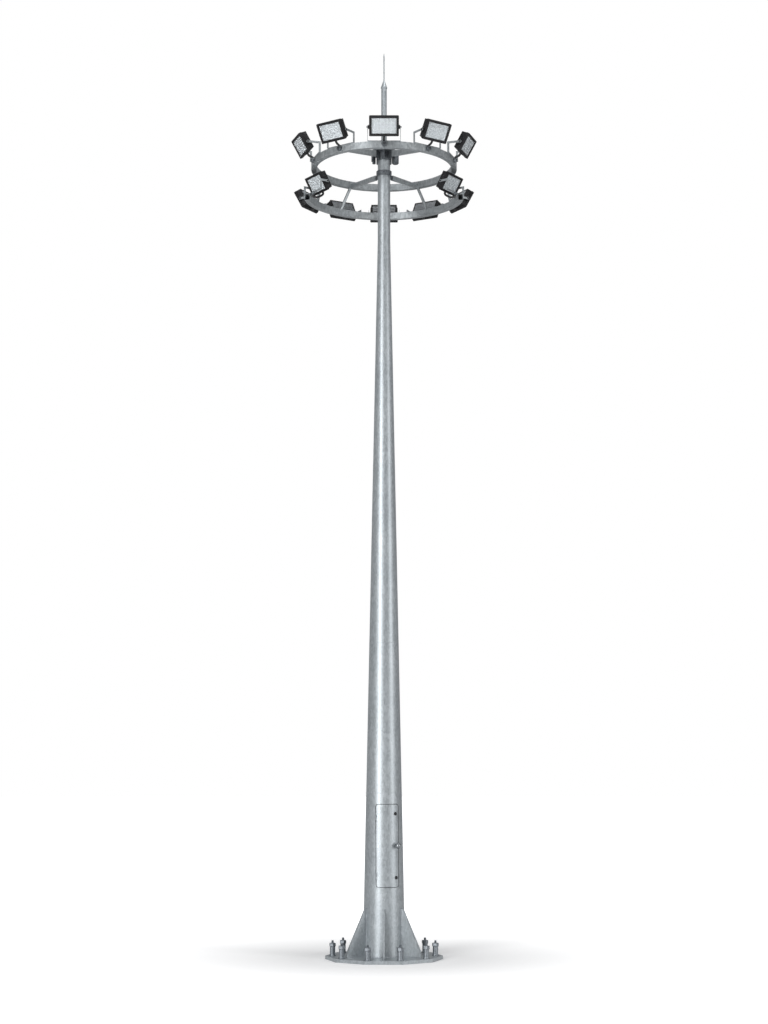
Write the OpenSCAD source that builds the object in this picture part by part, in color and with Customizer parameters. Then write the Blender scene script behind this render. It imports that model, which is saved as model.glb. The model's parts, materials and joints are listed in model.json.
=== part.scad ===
// High mast floodlight tower: a tapered tubular mast on a bolted base plate, a hub and collar that
// carry two lamp rings, twelve floodlights that tilt in their stirrups, and a lightning rod.
// Millimetres. +Z is up, -Y is the front, and the origin is the middle of the base plate's underside.
// An azimuth of 0 faces the front and grows towards +X.

/* [Base] */
// Distance from the middle of the base plate to its corners
plate_corner_r = 1068; // [950:1:1300]
// Thickness of the base plate
plate_t = 60; // [40:1:80]
// Number of corners, which is also the number of anchor bolts
anchor_count = 10; // [8:1:12]
// Radius of the circle of anchor bolts
anchor_circle_r = 932; // [860:1:940]
// Diameter of an anchor bolt
anchor_d = 42; // [30:1:56]
// Clearance between an anchor bolt and its hole, on the radius
anchor_clearance = 3; // [2:0.5:6]
// Height of the sleeve under each anchor nut
sleeve_h = 150; // [100:1:200]
// Diameter of the sleeve under each anchor nut
sleeve_d = 88; // [70:1:100]
// Width of each anchor nut across its corners
nut_d = 112; // [90:1:125]
// Diameter of the hole for the supply cables
cable_hole_d = 200; // [100:1:220]
// Distance of the cable hole behind the middle of the plate
cable_hole_back = 190; // [170:1:220]
// Number of stiffening gussets
gusset_count = 6; // [4:1:8]
// Height of the gussets above the ground
gusset_top = 905; // [700:1:1000]
// Distance from the middle of the mast to the foot of a gusset
gusset_foot_r = 778; // [650:1:800]
// Thickness of a gusset
gusset_t = 25; // [15:1:40]

/* [Mast] */
// Height of the mast's top above the ground
mast_h = 15060; // [14800:1:16000]
// Diameter of the mast at the ground
mast_base_d = 770; // [700:1:860]
// Diameter of the mast at its top
mast_top_d = 244; // [220:1:270]
// Length of the straight stretch below the mast's top
mast_straight_l = 1710; // [1000:1:2400]
// Height of the seam between the first and second sections
seam_1 = 2976; // [2920:1:3200]
// Height of the seam between the second and third sections
seam_2 = 5707; // [5000:1:6500]
// Height of the seam between the third and fourth sections
seam_3 = 9036; // [8000:1:10000]
// Wall thickness of the first section
wall_1 = 10; // [8:0.5:14]
// Wall thickness of the second section
wall_2 = 8; // [6:0.5:10]
// Wall thickness of the third section
wall_3 = 6; // [5:0.5:8]
// Wall thickness of the fourth section
wall_4 = 5; // [4:0.5:8]
// Setback of each section's outside at its seam
seam_step = 1; // [0.5:0.1:3]
// Length of the spigot that each section plugs into the one below
spigot_l = 140; // [80:1:150]
// Clearance around a spigot
spigot_clearance = 0.8; // [0.4:0.1:2]

/* [Door] */
// Azimuth of the door's middle
door_az = 12.2; // [-60:0.1:60]
// Height of the door's lower edge
door_z = 1299; // [1150:1:1400]
// Height of the door leaf
door_h = 1469; // [1200:1:1490]
// Width of the door leaf, straight across
door_w = 404; // [300:1:460]
// Corner radius of the door leaf
door_corner_r = 35; // [20:1:60]
// Gap all round the door leaf
door_gap = 5; // [5:0.5:8]
// Thickness of the door leaf
door_t = 5; // [4:0.5:6]
// Width of the frame that stiffens the doorway
door_frame_w = 45; // [30:1:60]
// Thickness of the frame that stiffens the doorway
door_frame_t = 12; // [8:0.5:20]
// Radius of the hinge knuckles
knuckle_r = 9; // [8:0.5:12]
// Length of each hinge knuckle
knuckle_l = 45; // [30:1:60]
// Radius of the hinge pins
hinge_pin_r = 4; // [3:0.1:5]
// Distance from the door's middle to each hinge
hinge_spacing = 520; // [400:1:600]
// Running clearance around hinge and pivot pins, on the radius
pin_clearance = 0.08; // [0.05:0.01:0.1]
// Diameter of the ball knob
knob_d = 108; // [80:1:120]
// Distance from the leaf's free edge to the locks, straight across
lock_inset = 52; // [45:1:80]
// Distance from the door's middle to the upper and lower latch
latch_spacing = 570; // [450:1:640]

/* [Rings] */
// Outer radius of the upper lamp ring
upper_ring_r = 1388; // [1300:1:1460]
// Distance from the mast's top down to the upper ring's middle
upper_ring_drop = 268; // [240:1:300]
// How much larger the lower ring's outer radius is than the upper ring's
ring_step = 132; // [100:1:200]
// Distance from the upper ring's middle down to the lower ring's
lower_ring_drop = 544; // [540:1:640]
// Azimuth at which each end of the open lower ring stops
lower_ring_end = 95; // [94:1:98]
// Height of both rings' box section
ring_h = 127; // [100:1:140]
// Radial depth of both rings' box section
ring_d = 100; // [80:1:120]
// Wall thickness of both rings' box section
ring_wall = 5; // [3:0.5:8]
// Azimuth of the front arms
front_arm_az = 36; // [32:1:40]
// Azimuth of the rear arms
rear_arm_az = 150; // [145:1:155]
// Width of an arm, seen from above
arm_t = 46; // [30:1:60]
// Length of a splice plate
splice_l = 260; // [200:1:320]
// Thickness of a splice plate
splice_t = 12; // [8:1:16]
// Azimuth of the front hangers
front_hanger_az = 115; // [112:1:118]
// Width and depth of a hanger
hanger_w = 44; // [30:1:50]

/* [Head] */
// Radius of the hub plate
hub_r = 280; // [260:1:320]
// Thickness of the hub plate
hub_t = 20; // [12:1:30]
// Height of the ribs under the hub plate
hub_rib_h = 150; // [120:1:170]
// Wall thickness of the hub's sleeve and of the collar
sleeve_t = 24; // [15:1:30]
// Distance from the mast's top down to the lower collar's middle
collar_drop = 405; // [390:1:420]
// Height of the lower collar
collar_h = 96; // [80:1:110]
// Diameter of the rod tube
rod_d = 105; // [80:1:120]
// Length of the rod tube
rod_tube_l = 1270; // [1000:1:1500]
// Diameter of the rod's coupling
rod_coupling_d = 122; // [108:1:130]
// Height of the rod's cone
rod_cone_h = 150; // [100:1:200]
// Length of the needle
needle_l = 552; // [400:1:700]
// Diameter of the needle
needle_d = 24; // [16:1:40]

/* [Floodlights] */
// Width of a floodlight
lamp_w = 545; // [450:1:550]
// Height of a floodlight's face
lamp_h = 375; // [320:1:380]
// Depth of the frame around the face
lamp_frame_d = 50; // [40:1:55]
// Depth of the tapered heat sink behind the frame
lamp_sink_d = 100; // [70:1:110]
// How much narrower the heat sink is at its back, on each side
sink_taper = 12; // [5:1:40]
// Width of the bezel around the glass
bezel_w = 43; // [30:1:55]
// Wall thickness of the housing
lamp_wall = 6; // [4:0.5:8]
// Thickness of the glass
glass_t = 6; // [4:0.5:8]
// Downward tilt of the floodlights
lamp_tilt = 30; // [15:1:40]
// Distance from the face back to the tilting axis
pivot_depth = 70; // [60:1:80]
// Distance from the middle of the face down to the tilting axis
pivot_drop = 30; // [0:1:50]
// Radius of the pivot bosses
pivot_boss_r = 38; // [28:1:40]
// Radius of the pivot bolts
pivot_bolt_r = 8; // [6:0.5:10]
// Thickness of a stirrup
stirrup_t = 8; // [6:0.5:12]
// Width of a stirrup's bar
stirrup_w = 40; // [30:1:50]
// Distance of the upper floodlights' tilting axis outside the upper ring
upper_pivot_out = 206; // [190:1:250]
// Height of the upper floodlights' tilting axis above the upper ring's middle
upper_pivot_up = 257; // [250:1:300]
// Distance of the lower floodlights' tilting axis outside the lower ring
lower_pivot_out = 180; // [170:1:220]
// Height of the lower floodlights' tilting axis above the lower ring's middle
lower_pivot_up = 112; // [105:1:150]
// Distance of the end floodlights' tilting axis inside the lower ring's outer face
end_pivot_in = 276; // [260:1:290]
// Height of the end floodlights' tilting axis above the lower ring's middle
end_pivot_up = 242; // [240:1:245]
// Azimuth that the end floodlights face
end_aim = 57; // [45:1:70]
// Diameter of a lead
lead_d = 34; // [20:1:40]
// Diameter of a ring clamp's round boss
clamp_d = 96; // [80:1:110]

/* [Hidden] */
$fn = 96;
eps = 0.01;
// Space left between pieces that are fixed to each other along a curved face
seat = 0.2;
// Reach of a cut past the surface that it starts from
over = 5;

LAMP_IDS = ["01", "02", "03", "04", "05", "06", "07", "08", "09", "10", "11", "12"];
upper_azimuths = [0, 36, -36, 72, -72];
lower_azimuths = [120, -120, 151, -151, 180];

STEEL = [0.66, 0.68, 0.70];
DARK_STEEL = [0.42, 0.44, 0.46];
BLACK = [0.12, 0.12, 0.13];
GLASS = [0.80, 0.83, 0.85, 0.6];

// ---- Mast sizes -------------------------------------------------------------------------------

straight_z = mast_h - mast_straight_l;
mast_taper = (mast_base_d - mast_top_d) / straight_z;
function mast_r(z) = max(mast_top_d, mast_base_d - mast_taper * z) / 2;
WALLS = [wall_1, wall_2, wall_3, wall_4];
SEAMS = [plate_t, seam_1, seam_2, seam_3, mast_h];
function outer_r(k, z) = mast_r(z) - k * seam_step;
function spigot_r(k, z) = outer_r(k - 1, z) - WALLS[k - 1] - spigot_clearance;

// ---- Door sizes -------------------------------------------------------------------------------

door_mid_z = door_z + door_h / 2;
hinge_x = -door_w / 2 - door_gap / 2;
function hinge_y(z) = -sqrt(pow(outer_r(0, z), 2) - pow(hinge_x, 2));
hinge_lean = atan((hinge_y(door_z + door_h) - hinge_y(door_z)) / door_h);
lock_az = asin((door_w / 2 - lock_inset) / outer_r(0, door_mid_z));

// ---- Ring and head sizes ----------------------------------------------------------------------

upper_ring_z = mast_h - upper_ring_drop;
upper_ring_top = upper_ring_z + ring_h / 2;
lower_ring_r = upper_ring_r + ring_step;
lower_ring_z = upper_ring_z - lower_ring_drop;
lower_ring_top = lower_ring_z + ring_h / 2;
sleeve_r = mast_top_d / 2 + sleeve_t;
rod_z = mast_h + hub_t;
collar_z = mast_h - collar_drop;
collar_lug_r = sleeve_r + 154;

// ---- Lamp places ------------------------------------------------------------------------------

// Each place: azimuth, radius and height of the tilting axis, azimuth that the lamp faces, and how far
// behind and below the axis the stirrup is bolted to its ring.
seat_inset = 25;
end_pivot_az = lower_ring_end + 1;
end_back = -144;
upper_pivot_r = upper_ring_r + upper_pivot_out;
upper_pivot_z = upper_ring_z + upper_pivot_up;
lower_pivot_r = lower_ring_r + lower_pivot_out;
lower_pivot_z = lower_ring_z + lower_pivot_up;
end_pivot_r = lower_ring_r - end_pivot_in;
end_pivot_z = lower_ring_z + end_pivot_up;
upper_back = upper_pivot_out + seat_inset;
lower_back = lower_pivot_out + seat_inset;
PLACES = concat(
    [for (a = upper_azimuths)
        [a, upper_pivot_r, upper_pivot_z, a, upper_back, upper_pivot_z - upper_ring_top]],
    [for (s = [1, -1])
        [s * end_pivot_az, end_pivot_r, end_pivot_z, s * end_aim, end_back, end_pivot_z - lower_ring_top]],
    [for (a = lower_azimuths)
        [a, lower_pivot_r, lower_pivot_z, a, lower_back, lower_pivot_z - lower_ring_top]]);
UPPER = [0 : 4];
ENDS = [5, 6];
OUTER = [7 : 11];

stirrup_x = lamp_w / 2 + 26;
lamp_inset = 8;
lamp_lip = 6;
gland_r = 26;
gland_l = 12;
// A lead starts just off the gland, outside the circle that the gland turns on.
lead_start = lamp_h / 2 - pivot_drop + gland_l + 6;
upper_boss_l = 50;
upper_boss_drop = upper_pivot_up;
lower_boss_l = 20;
lower_boss_d = clamp_d * 0.8;
lower_boss_drop = lower_pivot_up + 20;
end_boss_l = 46;
end_boss_d = 62;
end_boss_drop = end_pivot_z - lower_ring_top;

// ---- Helpers ----------------------------------------------------------------------------------

module ring_copies(count, start = 0) {
    for (i = [0 : count - 1])
        rotate([0, 0, start + i * 360 / count])
            children();
}

// Turns what is drawn along -Y to an azimuth.
module at_azimuth(a) {
    rotate([0, 0, a]) children();
}

// Flat outline in the plane of a radius and a height, given a thickness across that plane.
module radial_plate(points, thickness) {
    rotate([90, 0, -90])
        linear_extrude(height = thickness, center = true)
            polygon(points);
}

module tube(r, wall, h) {
    difference() {
        cylinder(r = r, h = h);
        translate([0, 0, -over])
            cylinder(r = r - wall, h = h + 2 * over);
    }
}

module rounded_rectangle(w, h, r) {
    translate([-w / 2 + r, -h / 2]) square([w - 2 * r, h]);
    translate([-w / 2, -h / 2 + r]) square([w, h - 2 * r]);
    for (x = [-w / 2 + r, w / 2 - r], y = [-h / 2 + r, h / 2 - r])
        translate([x, y]) circle(r = r);
}

// Curved box section, from one azimuth to another, with open ends.
module ring_arc(outer, z, from, to) {
    inner = outer - ring_d;
    translate([0, 0, z - ring_h / 2])
        rotate([0, 0, from - 90])
            rotate_extrude(angle = to - from)
                difference() {
                    translate([inner, 0]) square([ring_d, ring_h]);
                    translate([inner + ring_wall, ring_wall])
                        square([ring_d - 2 * ring_wall, ring_h - 2 * ring_wall]);
                }
}

// ---- Base -------------------------------------------------------------------------------------

module base_plate() {
    color(STEEL)
        difference() {
            rotate([0, 0, 90 + 180 / anchor_count])
                cylinder(r = plate_corner_r, h = plate_t, $fn = anchor_count);
            translate([0, cable_hole_back, -over])
                cylinder(d = cable_hole_d, h = plate_t + 2 * over);
            ring_copies(anchor_count, 180 / anchor_count)
                translate([0, -anchor_circle_r, -over])
                    cylinder(r = anchor_d / 2 + anchor_clearance, h = plate_t + 2 * over, $fn = 32);
        }
}

module base_gussets() {
    foot_in = mast_r(plate_t) - over;
    top_out = mast_r(gusset_top) + 30;
    color(STEEL)
        difference() {
            ring_copies(gusset_count)
                radial_plate([[foot_in, plate_t], [gusset_foot_r, plate_t],
                              [gusset_foot_r, plate_t + 40], [top_out, gusset_top],
                              [mast_r(gusset_top) - over, gusset_top]], gusset_t);
            translate([0, 0, plate_t - over])
                cylinder(r1 = mast_r(plate_t - over) + seat, r2 = mast_r(gusset_top + over) + seat,
                         h = gusset_top - plate_t + 2 * over);
        }
}

module anchor_bolts() {
    washer_h = 14;
    nut_h = 62;
    tip_h = 45;
    color(DARK_STEEL)
        ring_copies(anchor_count, 180 / anchor_count)
            translate([0, -anchor_circle_r, 0]) {
                cylinder(d = anchor_d, h = plate_t + over);
                translate([0, 0, plate_t]) {
                    cylinder(d = nut_d + 16, h = washer_h);
                    cylinder(d = sleeve_d, h = washer_h + sleeve_h);
                    translate([0, 0, washer_h + sleeve_h])
                        cylinder(d = nut_d, h = nut_h, $fn = 6);
                    translate([0, 0, washer_h + sleeve_h + nut_h])
                        cylinder(d = anchor_d, h = tip_h);
                }
            }
}

// ---- Mast -------------------------------------------------------------------------------------

// One tapered section, with the spigot that plugs into the section below it.
module mast_section(k) {
    low = SEAMS[k];
    high = SEAMS[k + 1];
    wall = WALLS[k];
    blend = 60;
    knee = (straight_z > low && straight_z < high) ? [straight_z] : [];
    outside = [for (z = concat([low], knee, [high])) [outer_r(k, z), z]];
    inside_low = k > 0 ? low + blend : low;
    inside = [for (z = concat([high], knee, [inside_low])) [outer_r(k, z) - wall, z]];
    plug = k > 0
        ? [[spigot_r(k, low) - wall, low], [spigot_r(k, low - spigot_l) - wall, low - spigot_l],
           [spigot_r(k, low - spigot_l), low - spigot_l], [spigot_r(k, low), low]]
        : [];
    rotate_extrude()
        polygon(concat(outside, inside, plug));
}

module mast_section_1() {
    color(STEEL)
        difference() {
            mast_section(0);
            doorway(door_gap);
            hinge_notches(-1);
        }
}

module mast_section_2() {
    color(STEEL) mast_section(1);
}

module mast_section_3() {
    color(STEEL) mast_section(2);
}

module mast_section_4() {
    color(STEEL) mast_section(3);
}

// ---- Door -------------------------------------------------------------------------------------

// Straight prism through the front wall, as large as the leaf and a margin all round.
module doorway(margin) {
    at_azimuth(door_az)
        translate([0, -mast_base_d / 2 - over, door_mid_z])
            rotate([-90, 0, 0])
                linear_extrude(height = mast_base_d / 2)
                    rounded_rectangle(door_w + 2 * margin, door_h + 2 * margin, door_corner_r + margin);
}

// Tapered shell that follows the first section's surface, between two depths below it.
module mast_skin(depth, thickness, low, high) {
    difference() {
        translate([0, 0, low])
            cylinder(r1 = outer_r(0, low) - depth, r2 = outer_r(0, high) - depth, h = high - low);
        translate([0, 0, low - over])
            cylinder(r1 = outer_r(0, low - over) - depth - thickness,
                     r2 = outer_r(0, high + over) - depth - thickness, h = high - low + 2 * over);
    }
}

// Places what is drawn upright at the origin on the door's hinge line.
module on_hinge(offset) {
    at_azimuth(door_az)
        translate([hinge_x, hinge_y(door_mid_z), door_mid_z])
            rotate([-hinge_lean, 0, 0])
                translate([0, 0, offset])
                    children();
}

// Clearance for the knuckles, cut from the mast (side -1) or from the leaf (side 1).
module hinge_notches(side) {
    reach = knuckle_r + door_gap;
    length = side < 0 ? 3 * knuckle_l + 4 * door_gap : knuckle_l + 2 * door_gap;
    for (s = [-1, 1])
        on_hinge(s * hinge_spacing)
            translate([side < 0 ? -reach : 0, -reach, -length / 2])
                cube([reach, 2 * reach + over, length]);
}

module door_frame() {
    margin = door_frame_w;
    low = door_z - margin;
    high = door_z + door_h + margin;
    color(STEEL) {
        difference() {
            intersection() {
                mast_skin(wall_1 + 1.5 * seat, door_frame_t, low, high);
                doorway(margin);
            }
            doorway(-20);
        }
        for (s = [-1, 1])
            on_hinge(s * hinge_spacing) {
                translate([0, 0, -knuckle_l / 2])
                    cylinder(r = knuckle_r, h = knuckle_l);
                translate([0, 0, -3 * knuckle_l / 2])
                    cylinder(r = hinge_pin_r, h = 3 * knuckle_l);
                translate([-knuckle_r, 0, -knuckle_l / 2])
                    cube([knuckle_r, wall_1 + 6, knuckle_l]);
            }
    }
}

module door_leaf() {
    clearance_z = 1;
    color(STEEL)
        difference() {
            union() {
                difference() {
                    intersection() {
                        mast_skin(0, door_t, door_z - over, door_z + door_h + over);
                        doorway(0);
                    }
                    hinge_notches(1);
                }
                for (s = [-1, 1], t = [-1, 1])
                    on_hinge(s * hinge_spacing + t * knuckle_l)
                        translate([0, 0, -(knuckle_l - clearance_z) / 2])
                            cylinder(r = knuckle_r, h = knuckle_l - clearance_z);
            }
            for (s = [-1, 1])
                on_hinge(s * hinge_spacing)
                    translate([0, 0, -2 * knuckle_l])
                        cylinder(r = hinge_pin_r + pin_clearance, h = 4 * knuckle_l);
        }
}

// Places what is drawn along -Y on the door's surface, at the lock line.
module on_lock_line(z) {
    at_azimuth(door_az + lock_az)
        translate([0, -outer_r(0, z), z])
            children();
}

module door_latches() {
    color(BLACK)
        for (s = [-1, 1])
            on_lock_line(door_mid_z + s * latch_spacing)
                rotate([90, 0, 0]) {
                    translate([0, 0, seat]) cylinder(r = 24, h = 8);
                    translate([0, 0, 1]) cylinder(r = 17, h = 23);
                    translate([-9, -26, 6 - eps]) cube([18, 52, 12]);
                }
}

module door_knob() {
    neck = 34;
    color(STEEL)
        on_lock_line(door_mid_z)
            rotate([90, 0, 0])
                difference() {
                    union() {
                        translate([0, 0, 1]) cylinder(r = 30, h = 12);
                        cylinder(r = 17, h = neck);
                        translate([0, 0, neck + knob_d / 2 - 12]) sphere(d = knob_d);
                    }
                    translate([0, 0, -over]) cylinder(r = 60, h = over + 1);
                }
}

// ---- Head -------------------------------------------------------------------------------------

module head_hub() {
    rib_low = mast_h - hub_rib_h;
    color(DARK_STEEL)
        difference() {
            union() {
                translate([0, 0, mast_h]) cylinder(r = hub_r, h = hub_t);
                translate([0, 0, rib_low]) cylinder(r = sleeve_r, h = hub_rib_h);
                for (a = [-rear_arm_az, -front_arm_az, 0, front_arm_az, rear_arm_az, 180])
                    at_azimuth(a)
                        radial_plate([[sleeve_r - over, rib_low], [hub_r - 20, rib_low],
                                      [hub_r, rib_low + 20], [hub_r, mast_h + eps],
                                      [sleeve_r - over, mast_h + eps]], 14);
            }
            translate([0, 0, rib_low - over])
                cylinder(r = mast_top_d / 2 + seat, h = hub_rib_h + over);
        }
}

// Round cable boxes that hang from the hub plate: a drum on the right and two small ones on the left.
module hub_boxes() {
    drum_r = 66;
    drum_h = 195;
    gland_h = 14;
    module small_box(x, y, r, h) {
        translate([-sleeve_r - x, y, mast_h - h]) cylinder(r = r, h = h);
    }
    color(DARK_STEEL) {
        translate([sleeve_r + drum_r + 4, 0, mast_h - drum_h]) {
            cylinder(r = drum_r, h = drum_h);
            translate([0, 0, -gland_h]) cylinder(r = drum_r - 16, h = gland_h + eps);
        }
        small_box(44, 22, 32, drum_h);
        small_box(69, -48, 26, drum_h - 20);
    }
}

module arm_collar() {
    low = collar_z - collar_h / 2;
    lug_low = low + 8;
    lug_high = low + collar_h - 8;
    color(DARK_STEEL)
        difference() {
            union() {
                translate([0, 0, low]) cylinder(r = sleeve_r, h = collar_h);
                for (a = [-rear_arm_az, rear_arm_az])
                    at_azimuth(a)
                        radial_plate([[sleeve_r - over, lug_low], [collar_lug_r, lug_low],
                                      [collar_lug_r, lug_high], [sleeve_r - over, lug_high]], 20);
            }
            translate([0, 0, low - over])
                cylinder(r = mast_top_d / 2 + seat + 3 * seam_step, h = collar_h + 2 * over);
        }
}

// Arm from the hub or collar out to the ring, ending on the ring's inner face.
module arm(points) {
    intersection() {
        radial_plate(points, arm_t);
        cylinder(r = upper_ring_r - ring_d - seat, h = mast_h + 1000);
    }
}

module front_arms() {
    reach = upper_ring_r;
    root_z = mast_h - hub_rib_h;
    color(STEEL)
        for (a = [-front_arm_az, front_arm_az])
            at_azimuth(a)
                arm([[hub_r + seat, root_z + 22], [hub_r + seat, mast_h - 12],
                     [reach, upper_ring_z + 24], [reach, upper_ring_z - 36]]);
}

module rear_arms() {
    reach = upper_ring_r;
    color(STEEL)
        for (a = [-rear_arm_az, rear_arm_az])
            at_azimuth(a)
                arm([[collar_lug_r + seat, collar_z - 42], [collar_lug_r + seat, collar_z + 52],
                     [reach, upper_ring_z + 10], [reach, upper_ring_z - 56]]);
}

module upper_ring_left() {
    color(STEEL) ring_arc(upper_ring_r, upper_ring_z, 180, 360);
}

module upper_ring_right() {
    color(STEEL) ring_arc(upper_ring_r, upper_ring_z, 0, 180);
}

module lower_ring() {
    color(STEEL) ring_arc(lower_ring_r, lower_ring_z, lower_ring_end, 360 - lower_ring_end);
}

// Curved plates inside the two joints of the upper ring.
module ring_splices() {
    h = ring_h - 24;
    half = splice_l / 2 / upper_ring_r * 180 / PI;
    inner = upper_ring_r - ring_d - seat;
    color(DARK_STEEL)
        for (a = [0, 180])
            translate([0, 0, upper_ring_z - h / 2])
                rotate([0, 0, a - half - 90])
                    rotate_extrude(angle = 2 * half, $fn = 360)
                        translate([inner - splice_t, 0]) square([splice_t, h]);
}

// Struts that hang the lower ring from the upper one. They lean along the ring, and each has its
// head's azimuth and how much further round its foot stands.
module ring_hangers() {
    pad_h = 8;
    head_r = upper_ring_r - ring_d / 2;
    foot_r = lower_ring_r - ring_d + hanger_w / 2 + 2;
    module pad(az, r, z) {
        at_azimuth(az)
            translate([-hanger_w / 2, -r - hanger_w / 2, z])
                cube([hanger_w, hanger_w, pad_h]);
    }
    color(STEEL)
        for (s = [-1, 1], strut = [[rear_arm_az, -5.7], [front_hanger_az, 2]])
            hull() {
                pad(s * strut[0], head_r, upper_ring_z - ring_h / 2 - seat - pad_h);
                pad(s * (strut[0] + strut[1]), foot_r, lower_ring_top + seat);
            }
}

module rod_tube() {
    color(STEEL)
        translate([0, 0, rod_z]) {
            tube(rod_d / 2, 6, rod_tube_l);
            difference() {
                cylinder(d = rod_d + 70, h = 14);
                translate([0, 0, -over]) cylinder(d = rod_d - 8, h = 30);
            }
        }
}

module rod_cone() {
    coupling_h = 28;
    base_z = rod_z + rod_tube_l;
    color(STEEL)
        translate([0, 0, base_z]) {
            cylinder(d = rod_coupling_d, h = coupling_h);
            translate([0, 0, coupling_h])
                cylinder(d1 = rod_coupling_d - 8, d2 = needle_d + 6, h = rod_cone_h - coupling_h);
        }
}

module rod_needle() {
    base_z = rod_z + rod_tube_l + rod_cone_h;
    point_h = 60;
    color(STEEL)
        translate([0, 0, base_z]) {
            cylinder(d = needle_d, h = needle_l - point_h);
            translate([0, 0, needle_l - point_h])
                cylinder(d1 = needle_d, d2 = 4, h = point_h);
        }
}

// ---- Floodlights ------------------------------------------------------------------------------

// Places what is drawn with its tilting axis along X, its face towards -Y and untilted.
module at_place(p) {
    translate([p[1] * sin(p[0]), -p[1] * cos(p[0]), p[2]])
        rotate([0, 0, p[3]])
            children();
}

// The heat sink's outline, made smaller on every side by a margin.
module sink_body(margin) {
    front = lamp_frame_d - pivot_depth;
    back = front + lamp_sink_d;
    half_w = lamp_w / 2 - lamp_inset - margin;
    half_h = lamp_h / 2 - lamp_inset - margin;
    intersection() {
        translate([0, 0, pivot_drop])
            linear_extrude(height = lamp_h, center = true)
                polygon([[-half_w, front - eps], [half_w, front - eps],
                         [half_w - sink_taper, back - margin],
                         [-half_w + sink_taper, back - margin]]);
        translate([0, 0, pivot_drop])
            rotate([90, 0, 90])
                linear_extrude(height = lamp_w, center = true)
                    polygon([[front - eps, -half_h], [front - eps, half_h],
                             [back - margin, half_h - sink_taper],
                             [back - margin, -half_h + sink_taper]]);
    }
}

module lamp_housing() {
    front = -pivot_depth;
    bolt_l = stirrup_x - lamp_w / 2 + stirrup_t + 12;
    wall = lamp_inset + lamp_wall;
    rotate([lamp_tilt, 0, 0]) {
        difference() {
            union() {
                translate([-lamp_w / 2, front, pivot_drop - lamp_h / 2])
                    cube([lamp_w, lamp_frame_d, lamp_h]);
                sink_body(0);
                for (s = [-1, 1])
                    rotate([0, s * 90, 0]) {
                        translate([0, 0, lamp_w / 2 - 30])
                            cylinder(r = pivot_boss_r, h = stirrup_x - lamp_w / 2 + 30 - 1);
                        translate([0, 0, lamp_w / 2])
                            cylinder(r = pivot_bolt_r, h = bolt_l);
                        translate([0, 0, stirrup_x + stirrup_t + 1])
                            cylinder(r = pivot_bolt_r + 7, h = 12, $fn = 6);
                    }
                translate([0, 0, pivot_drop - lamp_h / 2 - gland_l])
                    cylinder(r = gland_r, h = gland_l + 2);
            }
            translate([-lamp_w / 2 + bezel_w, front - over, pivot_drop - lamp_h / 2 + bezel_w])
                cube([lamp_w - 2 * bezel_w, lamp_lip + 2 * over, lamp_h - 2 * bezel_w]);
            translate([-lamp_w / 2 + wall, front + lamp_lip, pivot_drop - lamp_h / 2 + wall])
                cube([lamp_w - 2 * wall, lamp_frame_d - lamp_lip + eps, lamp_h - 2 * wall]);
            sink_body(lamp_wall);
        }
    }
}

module lamp_glass() {
    inset = lamp_inset + lamp_wall + seat;
    rotate([lamp_tilt, 0, 0])
        translate([-lamp_w / 2 + inset, lamp_lip - pivot_depth, pivot_drop - lamp_h / 2 + inset])
            cube([lamp_w - 2 * inset, glass_t, lamp_h - 2 * inset]);
}

// One stirrup. The seat is given as its distance behind the tilting axis and below it.
module stirrup(back, drop) {
    hole_r = pivot_bolt_r + pin_clearance;
    eye_r = stirrup_w / 2 + 6;
    for (s = [-1, 1])
        difference() {
            translate([s * (stirrup_x + stirrup_t / 2), 0, 0])
                rotate([90, 0, 90])
                    linear_extrude(height = stirrup_t, center = true) {
                        circle(r = eye_r);
                        translate([min(0, back - stirrup_w / 2), -stirrup_w / 2])
                            square([abs(back) + stirrup_w / 2, stirrup_w]);
                        translate([back - stirrup_w / 2, -drop])
                            square([stirrup_w, drop + stirrup_w / 2]);
                    }
            translate([s * stirrup_x - 50, 0, 0])
                rotate([0, 90, 0])
                    cylinder(r = hole_r, h = 100);
        }
    translate([-stirrup_x - stirrup_t, back - stirrup_w / 2, -drop])
        cube([2 * (stirrup_x + stirrup_t), stirrup_w, stirrup_t]);
}

module stirrups(places) {
    color(STEEL)
        for (i = places)
            at_place(PLACES[i]) stirrup(PLACES[i][4], PLACES[i][5]);
}

module upper_stirrups() {
    stirrups(UPPER);
}

module lower_stirrups() {
    stirrups(ENDS);
    stirrups(OUTER);
}

// Round boss on a ring's outer face that takes a floodlight's lead.
module clamp_boss(d, length, back, drop) {
    translate([0, back - seat_inset - seat, -drop])
        rotate([90, 0, 0]) {
            cylinder(d = d, h = length);
            translate([0, 0, length - eps]) cylinder(d = d * 0.55, h = 8);
        }
}

module upper_clamps() {
    color(DARK_STEEL)
        for (i = UPPER)
            at_place(PLACES[i]) clamp_boss(clamp_d, upper_boss_l, upper_back, upper_boss_drop);
}

module lower_clamps() {
    color(DARK_STEEL) {
        for (i = OUTER)
            at_place(PLACES[i]) clamp_boss(lower_boss_d, lower_boss_l, lower_back, lower_boss_drop);
        for (i = ENDS)
            at_place(PLACES[i])
                translate([0, end_back, -end_boss_drop - end_boss_l])
                    cylinder(d = end_boss_d, h = end_boss_l);
    }
}

// Lead of straight stretches in the plane of a floodlight's middle, through points behind and above
// the tilting axis.
module lead(points) {
    for (i = [0 : len(points) - 2]) {
        run = points[i + 1] - points[i];
        translate([0, points[i][0], points[i][1]])
            rotate([atan2(-run[0], run[1]), 0, 0])
                cylinder(d = lead_d, h = norm(run), $fn = 12);
        if (i > 0)
            translate([0, points[i][0], points[i][1]]) sphere(d = lead_d, $fn = 12);
    }
}

function below_gland(d) = [d * sin(lamp_tilt), -d * cos(lamp_tilt)];

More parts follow.
